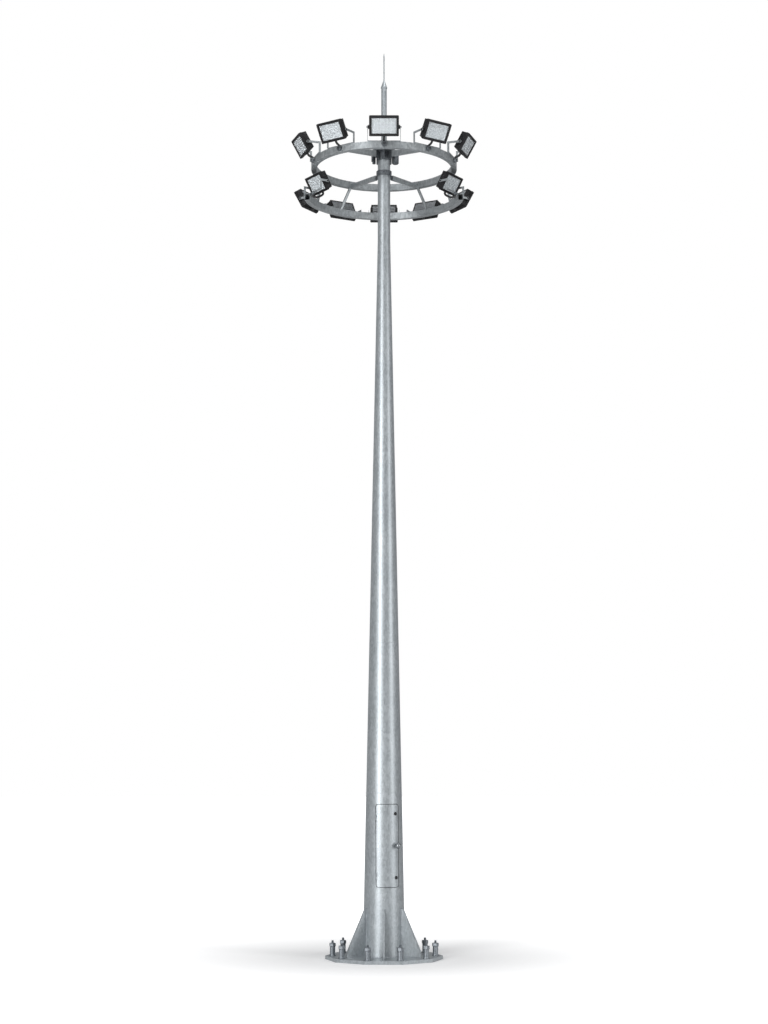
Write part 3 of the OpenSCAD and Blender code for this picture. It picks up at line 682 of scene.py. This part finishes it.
def gap_shade_seal_outline():
    """The flat outline, as (across, height) points, with each corner a quarter circle."""
    outline = []
    for side_x, side_z, start in ((1, 1, 0), (-1, 1, 90), (-1, -1, 180), (1, -1, 270)):
        middle_x = side_x * (SEAL_HALF - SEAL_CORNER)
        middle_z = SEAL_HIGH - SEAL_CORNER if side_z > 0 else SEAL_LOW + SEAL_CORNER
        for step in range(CORNER_STEPS + 1):
            angle = math.radians(start + step * 90 / CORNER_STEPS)
            outline.append((middle_x + SEAL_CORNER * math.cos(angle),
                            middle_z + SEAL_CORNER * math.sin(angle)))
    return outline


def wrap_on_mast(across, height):
    radius = skin_radius(height) + SEAL_LIFT
    angle = DOOR_AZ + math.asin(across / radius)
    return radius * math.sin(angle), -radius * math.cos(angle), height


flat = gap_shade_seal_outline()
gap_shade_seal_points = []
for (x, z), (next_x, next_z) in zip(flat, flat[1:] + flat[:1]):
    steps = max(1, int(abs(next_z - z) / 0.08) + int(abs(next_x - x) / 0.02))
    for step in range(steps):
        share = step / steps
        gap_shade_seal_points.append(wrap_on_mast(x + (next_x - x) * share, z + (next_z - z) * share))
# The seal is dark rubber: partly a real seal, partly painted shadow for the gap round the door.
gap_shade_seal = tube_along("door_gap_shade_seal", gap_shade_seal_points, SEAL_R, closed=True, order=2)
smooth(gap_shade_seal, 60)
paint(gap_shade_seal, RUBBER)
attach(gap_shade_seal, "mast")
print("door seal:", len(gap_shade_seal.data.polygons), "faces, door azimuth", round(math.degrees(DOOR_AZ), 1))

# %% [markdown]
# ## Door locks
# Each lock is a round escutcheon with a raised barrel and an oblong cover for its keyhole. The knob's
# joint gives the line down the door on which both of them stand.

# %% Model the locks
LOCK_END = 0.026

escutcheon = turned("lock_escutcheon", [(0.030, 0.001), (0.031, 0.003), (0.031, 0.009), (0.027, 0.013),
                                        (0.019, 0.014), (0.018, 0.022), (0.015, 0.024)], 36)
smooth(escutcheon, 30)
cover = block("lock_cover", (0.020, 0.054, 0.011), (0, 0, 0.0125))
soften(cover, 0.003, 3)
lock = fuse("lock_pattern", [escutcheon, cover])
paint(lock, LOCK_BLACK)
locks = []
for height in (lock_low.z + LOCK_END, lock_high.z - LOCK_END):
    place = ring_place(lock_azimuth, skin_radius(height), height) @ FACE_OUT
    locks.append(copy_to(lock, "door_lock", place))
door_locks = fuse("door_locks", locks)
finish_piece(door_locks, "door")
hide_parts("door_latches")
discard(lock)
print("locks at azimuth", round(lock_azimuth, 1), "knob at", round(knob_z, 3))

# %% [markdown]
# ## Bolt heads on the rings
# The two halves of the upper ring meet at splices, each with two columns of bolts on either side of
# the joint, and the hangers are bolted through the ring. One hexagon head is turned and copied to every
# place. The splices' bolts face the middle of the ring, and the hangers' bolts face out.

# %% Bolt the rings
bolt_head = turned("ring_bolt", [(0.019, -0.004), (0.019, 0.003), (0.0125, 0.003), (0.0150, 0.004),
                                 (0.0150, 0.012), (0.0125, 0.014)], 6)
paint(bolt_head, LOCK_BLACK)
SPLICE_BOLT_SEAT = 0.014
SPLICE_COLUMN = 0.045
SPLICE_ROW = 0.026
HANGER_AZIMUTHS = (-144.3, 144.3, -117, 117)
HANGER_BOLT_SPREAD = 1.6
splice_inner_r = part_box("ring_splices")[1].y - SPLICE_BOLT_SEAT
ring_bolts = []


def set_bolt(azimuth, radius, height, facing):
    place = ring_place(azimuth, radius, height) @ facing
    ring_bolts.append(copy_to(bolt_head, "ring_bolt", place))


column_step = math.degrees(SPLICE_COLUMN / UPPER_R)
for azimuth in (0, 180):
    for column in (-2, -1, 1, 2):
        for row in (-1, 1):
            set_bolt(azimuth + column * column_step, splice_inner_r, UPPER_Z + row * SPLICE_ROW, FACE_IN)
for azimuth in HANGER_AZIMUTHS:
    for side in (-1, 1):
        set_bolt(azimuth + side * HANGER_BOLT_SPREAD, UPPER_R, UPPER_Z + 0.002, FACE_OUT)
ring_heads = fuse("ring_bolt_heads", ring_bolts)
finish_piece(ring_heads, "mast")
discard(bolt_head)

# %% [markdown]
# ## Clamp bosses and leads
# Below each upper floodlight a boss stands on the ring's outer face: a turned drum with a stepped cap
# and a dark bolt. From it a thick rubber lead runs up to the gland under the floodlight. A lead has one
# end on the mast and one on the floodlight, so it bends between the two. The leads of the other
# floodlights are drawn the same way, and this script models no boss for them.
#
# Everything that belongs to one floodlight is drawn about its tilting axis, facing -Y. The joint in the
# frame gives the place of that axis, and its direction gives the azimuth.

# %% Bosses on the upper ring
BOSS_BACK = 0.206
BOSS_DROP = 0.257

boss = turned("clamp_boss", [(0.048, 0), (0.048, 0.044), (0.042, 0.050), (0.028, 0.050),
                             (0.026, 0.058), (0.020, 0.058)], 40)
smooth(boss, 30)
# The boss takes the darker zinc, which is painted shade.
paint(boss, SHADE_ZINC)
boss_bolt = turned("clamp_bolt", [(0.017, 0.056), (0.017, 0.064), (0.013, 0.067)], 6)
paint(boss_bolt, LOCK_BLACK)
boss_set = fuse("clamp_pattern", [boss, boss_bolt])
boss_set.data.transform(Matrix.Translation((0, BOSS_BACK, -BOSS_DROP)) @ FACE_OUT)


def pivot_place(name):
    joint = joints[f"{name}_tilt"]
    aim = math.atan2(joint["axis"][1], joint["axis"][0])
    return Matrix.Translation(joint["pos_m"]) @ Matrix.Rotation(aim, 4, "Z")


LAMPS = [f"floodlight_{k:02d}" for k in range(1, 13)]
UPPER_LAMPS = [name for name in LAMPS if joints[f"{name}_tilt"]["pos_m"][2] > ring_high.z + 0.1]
ENDS = ["floodlight_06", "floodlight_07"]
sets = [copy_to(boss_set, "clamp", pivot_place(name)) for name in UPPER_LAMPS]
clamps = fuse("upper_clamp_bosses", sets)
finish_piece(clamps, "mast")
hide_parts("upper_clamps")
discard(boss_set)

# %% Leads
LEAN_ANGLE = math.radians(30)
LEAD_R = 0.021
GLAND_REACH = 0.166
LEAD_STRAIGHT_END = 0.200


def below_gland(reach):
    return reach * math.sin(LEAN_ANGLE), -reach * math.cos(LEAN_ANGLE)


def lead_points(name):
    """The route of a lead, as (back, up) points from its floodlight's tilting axis."""
    start = [below_gland(GLAND_REACH), below_gland(LEAD_STRAIGHT_END)]
    if name in ENDS:
        return start + [(-0.030, -0.2585), (-0.090, -0.2585), (-0.144, -0.2585), (-0.144, -0.2245)]
    if name in UPPER_LAMPS:
        return start + [(0.140, -0.190), (0.181, -0.196), (0.181, -0.225)]
    return start + [(0.132, -0.156), (0.164, -0.146), (0.166, -0.134)]


for name in LAMPS:
    place = pivot_place(name)
    path = [place @ Vector((0, y, z)) for y, z in lead_points(name)]
    lead = tube_along(f"{name}_lead", path, LEAD_R)
    smooth(lead, 60)
    paint(lead, RUBBER)
    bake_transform(lead)
    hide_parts("upper_leads" if name in UPPER_LAMPS else "lower_leads")
print("leads:", len(LAMPS), "bosses:", len(UPPER_LAMPS))

# %% [markdown]
# ## One floodlight, modelled once
# The floodlights are all the same casting, so one is modelled about its tilting axis, facing -Y, and
# then copied. It is built up in the order in which it is made: the front frame with its window, the
# board of small lamps behind the glass, the heat sink with its ribs, and then the pivots and the gland.
#
# The window is an inset face pushed inward. The inset comes before the outer corners are rounded,
# because insetting a face that already has small rounded corners makes it fold over itself.

# %% The front frame and its window
LAMP_MIDDLE = 0.030
LAMP_FRONT = -0.070


def repeat(piece, count, step):
    """Repeats a piece in a row with an Array modifier, and applies it."""
    activate(piece)
    modifier = piece.modifiers.new("row", "ARRAY")
    modifier.count = count
    modifier.use_relative_offset = False
    modifier.use_constant_offset = True
    modifier.constant_offset_displace = step
    bpy.ops.object.modifier_apply(modifier=modifier.name)
    return piece


front = block("lamp_front", (0.545, 0.050, 0.375), (0, LAMP_FRONT + 0.025, LAMP_MIDDLE))
paint(front, SHELL_BLACK, BOARD)
edit_where(front, lambda centre, normal: normal.y < -0.9)
bpy.ops.mesh.inset(thickness=0.004)
bpy.ops.mesh.inset(thickness=0.039)
bpy.ops.mesh.inset(thickness=0.003)
bpy.ops.transform.translate(value=(0, 0.006, 0))
bpy.ops.mesh.extrude_region_move(TRANSFORM_OT_translate={"value": (0, 0.012, 0)})
leave_edit()
for face in front.data.polygons:
    if face.normal.y < -0.9 and face.center.y > LAMP_FRONT + 0.015:
        face.material_index = 1
bevel_edges(front, lambda middle, run: abs(run.y) > 0.95 and abs(middle.x) > 0.27, 0.020, 6)
smooth(front, 30)

# %% [markdown]
# The lamp board carries seventeen by eleven domes, 26 mm apart. Two Array modifiers make the field from
# one dome, and a small round base under each reads as its collar.

# %% The field of small lamps
DOME_PITCH = 0.026

dome = turned("small_lamps", [(0.0098, 0), (0.0098, 0.0012), (0.0078, 0.0014), (0.0070, 0.0034),
                              (0.0045, 0.0050), (0.0012, 0.0056)], 10)
first_dome = (-8 * DOME_PITCH, LAMP_FRONT + 0.018, LAMP_MIDDLE - 5 * DOME_PITCH)
dome.data.transform(Matrix.Translation(first_dome) @ FACE_OUT)
repeat(dome, 17, (DOME_PITCH, 0, 0))
repeat(dome, 11, (0, 0, DOME_PITCH))
smooth(dome, 50)
paint(dome, LENS)

# %% [markdown]
# The heat sink is a plain box that narrows a little to the back. Its sides and top carry cast ribs, and
# its back is a black rim round a field of upright fins. The fins are separate blades set in the recess,
# which is how light gets down between them.

# %% The heat sink
SINK_X, SINK_Z, SINK_DEEP, SINK_TAPER = 0.2645, 0.1795, 0.100, 0.012
SINK_MIDDLE = 0.030
RIB = 0.006


def narrow_back(piece):
    """Draws the back end of a sink part in, as the CAD body tapers."""
    for vertex in piece.data.vertices:
        share = max(0.0, (vertex.co.y + 0.020) / SINK_DEEP)
        vertex.co.x *= 1 - SINK_TAPER / SINK_X * share
        vertex.co.z = LAMP_MIDDLE + (vertex.co.z - LAMP_MIDDLE) * (1 - SINK_TAPER / SINK_Z * share)


core = block("sink_core", (2 * (SINK_X - RIB), SINK_DEEP, 2 * (SINK_Z - RIB)), (0, SINK_MIDDLE, LAMP_MIDDLE))
paint(core, SHELL_BLACK, ALUMINIUM)
edit_where(core, lambda centre, normal: normal.y > 0.9)
bpy.ops.mesh.inset(thickness=0.022)
bpy.ops.mesh.extrude_region_move(TRANSFORM_OT_translate={"value": (0, -0.034, 0)})
leave_edit()
for face in core.data.polygons:
    if face.normal.y > 0.9 and face.center.y < 0.07:
        face.material_index = 1

side_rib = block("side_rib", (0.014, SINK_DEEP, 0.0035), (SINK_X - 0.007, SINK_MIDDLE, LAMP_MIDDLE - 0.1715))
repeat(side_rib, 20, (0, 0, 0.018))
turn_over = Matrix.Rotation(math.pi, 4, "Z") @ Matrix.Translation((0, -2 * SINK_MIDDLE, 0))
other_rib = copy_to(side_rib, "other_rib", turn_over)
top_rib = block("top_rib", (0.0035, SINK_DEEP, 0.014), (-0.2565, SINK_MIDDLE, LAMP_MIDDLE + SINK_Z - 0.007))
repeat(top_rib, 28, (0.019, 0, 0))
# The ribs take the lighter black, which is painted light.
for rib in (side_rib, other_rib, top_rib):
    paint(rib, RIB_LIT_BLACK)

fin = block("back_fin", (0.003, 0.036, 2 * 0.1485), (-0.2275, 0.061, LAMP_MIDDLE))
bevel_edges(fin, lambda middle, run: abs(run.x) > 0.95 and middle.y > 0.07, 0.010, 3)
repeat(fin, 36, (0.013, 0, 0))
cross = block("back_cross", (0.46, 0.030, 0.004), (0, 0.060, LAMP_MIDDLE - 0.075))
repeat(cross, 3, (0, 0, 0.075))
for blade in (fin, cross):
    paint(blade, ALUMINIUM)
for part in (core, side_rib, other_rib, top_rib, fin, cross):
    narrow_back(part)
soften(core, 0.003)
smooth(core, 30)

# %% Pivots, bolts and gland
def sideways(piece, place, side):
    """Lays a part that was turned along +Z on the tilting axis, facing out on one side."""
    turn = Matrix.Rotation(side * math.radians(90), 4, "Y")
    piece.data.transform(turn @ Matrix.Translation((0, 0, place)))
    return piece


pivot_parts = []
for side in (-1, 1):
    boss = turned("pivot_boss", [(0.038, 0), (0.038, 0.046), (0.035, 0.050), (0.030, 0.050),
                                 (0.028, 0.0475), (0.022, 0.0475), (0.021, 0.0545)], 40)
    sideways(boss, 0.2425, side)
    shank = sideways(turned("pivot_shank", [(0.008, 0), (0.008, 0.012)], 20), 0.2965, side)
    washer = sideways(turned("pivot_washer", [(0.018, 0), (0.018, 0.002)], 28), 0.3068, side)
    head = turned("pivot_nut", [(0.0165, 0), (0.0170, 0.001), (0.0170, 0.0085), (0.0145, 0.0107)], 6)
    sideways(head, 0.3087, side)
    for part in (boss, washer):
        smooth(part, 30)
    paint(boss, SHELL_BLACK)
    for part in (shank, washer, head):
        paint(part, LOCK_BLACK)
    pivot_parts += [boss, shank, washer, head]

gland = turned("cable_gland", [(0.012, -0.012), (0.024, -0.012), (0.026, -0.009), (0.026, -0.003),
                               (0.020, 0.0), (0.020, 0.006)], 6)
gland.data.transform(Matrix.Translation((0, 0, LAMP_MIDDLE - 0.1875)))
paint(gland, LOCK_BLACK)

sink_parts = [core, side_rib, other_rib, top_rib, fin, cross]
lamp = fuse("floodlight_pattern", [front, *sink_parts, gland, *pivot_parts])
print("one floodlight:", len(lamp.data.polygons), "faces, domes:", len(dome.data.polygons))

# %% [markdown]
# ## Set the floodlights on their pivots
# A joint in the frame gives each pivot's place and the way its axis runs. The axis gives the azimuth,
# and every floodlight leans 30 degrees down at rest.

# %% Place the floodlights
LEAN = Matrix.Rotation(LEAN_ANGLE, 4, "X")
for name in LAMPS:
    seat = pivot_place(name) @ LEAN
    shell = copy_to(lamp, f"{name}_shell", seat)
    finish_piece(shell, name)
    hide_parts(f"{name}_housing")
    domes = copy_to(dome, f"{name}_small_lamps", seat)
    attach(domes, name)
discard(lamp, dome)
print("floodlights placed:", len(LAMPS))

# %% [markdown]
# ## Floor, lights and world
# The tower stands on a plain pale floor in front of a plain pale world, lit softly. One tall panel on
# the left makes the long highlight that runs down the mast, a weaker one fills the right, and one from
# above lights the tops of the rings. The floor also glows a little where the lens sees it, more with
# distance, so that it meets the world without a horizon. Large lights make soft shadows, so the floor
# only darkens close to the plate. The world is white only where the lens sees it. What it sheds on the
# steel is a dim grey, so that the mast keeps its dark edges.

# %% Stage
def stage_floor():
    clear_selection()
    bpy.ops.mesh.primitive_circle_add(vertices=96, radius=160, fill_type="NGON", location=(0, 0, -0.002))
    bpy.ops.object.transform_apply(location=True, rotation=False, scale=False)
    floor = name_piece("studio_floor")
    material, tree, shader = start_material("studio_floor_paint", (0.93, 0.93, 0.93), 0.9)
    shader.inputs["Specular IOR Level"].default_value = 0.1
    shader.inputs["Emission Color"].default_value = (1, 1, 1, 1)
    place = add_node(tree, "ShaderNodeTexCoord")
    distance = add_node(tree, "ShaderNodeVectorMath", operation="LENGTH")
    join(tree, place, "Object", distance, "Vector")
    glow = add_node(tree, "ShaderNodeMapRange",
                    {"From Min": 1.5, "From Max": 9.0, "To Min": 0.10, "To Max": 1.0})
    join(tree, distance, "Value", glow, "Value")
    rays = add_node(tree, "ShaderNodeLightPath")
    seen = add_node(tree, "ShaderNodeMath", operation="MULTIPLY")
    tree.links.new(glow.outputs["Result"], seen.inputs[0])
    tree.links.new(rays.outputs["Is Camera Ray"], seen.inputs[1])
    join(tree, seen, "Value", shader, "Emission Strength")
    paint(floor, material)
    return floor


def soft_panel(name, place, target, size, power, color=(1, 1, 1)):
    clear_selection()
    bpy.ops.object.light_add(type="AREA", location=place)
    panel = bpy.context.object
    panel.name = name
    panel.data.shape = "RECTANGLE"
    panel.data.size, panel.data.size_y = size
    panel.data.energy = power
    panel.data.color = color
    panel.rotation_euler = (Vector(target) - Vector(place)).to_track_quat("-Z", "Y").to_euler()
    return panel


floor = stage_floor()
soft_panel("key_panel", (-13, -21, 10), (0, 0, 8.5), (9, 20), 4500)
soft_panel("fill_panel", (19, -12, 9), (0, 0, 8.5), (6, 18), 1500)
soft_panel("top_panel", (4, -8, 27), (0, 0, 12), (10, 10), 1300)

world = bpy.data.worlds.new("studio_world")
world.use_nodes = True
world_tree = world.node_tree
backdrop = world_tree.nodes["Background"]
backdrop.inputs["Color"].default_value = (0.97, 0.98, 1.0, 1)
backdrop.inputs["Strength"].default_value = 0.34
seen = add_node(world_tree, "ShaderNodeBackground", {"Color": (1.0, 1.0, 1.0, 1), "Strength": 1.0})
rays = add_node(world_tree, "ShaderNodeLightPath")
chooser = add_node(world_tree, "ShaderNodeMixShader")
world_tree.links.new(rays.outputs["Is Camera Ray"], chooser.inputs[0])
world_tree.links.new(backdrop.outputs["Background"], chooser.inputs[1])
world_tree.links.new(seen.outputs["Background"], chooser.inputs[2])
world_tree.links.new(chooser.outputs["Shader"], world_tree.nodes["World Output"].inputs["Surface"])
bpy.context.scene.world = world
bpy.context.scene.view_settings.view_transform = "Standard"
